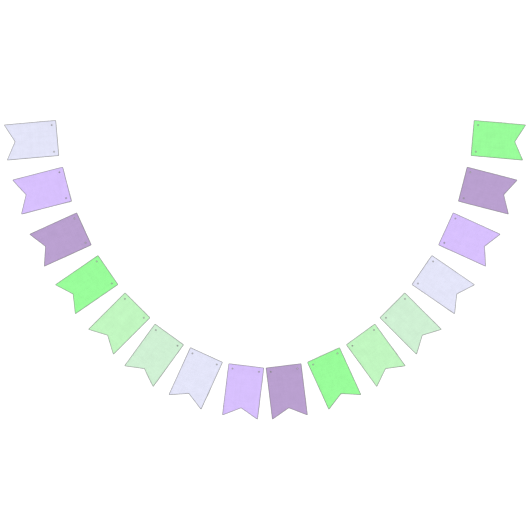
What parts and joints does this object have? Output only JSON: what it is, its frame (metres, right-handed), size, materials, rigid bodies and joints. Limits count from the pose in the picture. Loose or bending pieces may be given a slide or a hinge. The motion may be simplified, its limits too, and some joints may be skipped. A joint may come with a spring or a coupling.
{
  "type": "bunting",
  "caption": "Bunting of swallow-tail cloth flags, laid out flat along a deep U-shaped swag, each with a stitched edge and a small eyelet near either top corner.",
  "frame": {"origin": "middle of the whole set's box, on the plane that the flags lie on", "axes": "+X from the left end of the swag to its right end, +Y from its lowest flags towards its open side, +Z out of the flags' faces"},
  "size_m": [1.773, 1.016, 0.001],
  "materials": {
    "lavender_cloth": "matte",
    "lilac_cloth": "matte",
    "dusty_purple_cloth": "matte",
    "spring_green_cloth": "matte",
    "pale_green_cloth": "matte",
    "mint_cloth": "matte",
    "edge_thread": "matte"
  },
  "bodies": {
    "root": {"flag_01": "lavender_cloth", "flag_02": "lilac_cloth", "flag_03": "dusty_purple_cloth", "flag_04": "spring_green_cloth", "flag_05": "pale_green_cloth", "flag_06": "mint_cloth", "flag_07": "lavender_cloth", "flag_08": "lilac_cloth", "flag_09": "dusty_purple_cloth", "flag_10": "spring_green_cloth", "flag_11": "pale_green_cloth", "flag_12": "mint_cloth", "flag_13": "lavender_cloth", "flag_14": "lilac_cloth", "flag_15": "dusty_purple_cloth", "flag_16": "spring_green_cloth"}
  },
  "joints": []
}
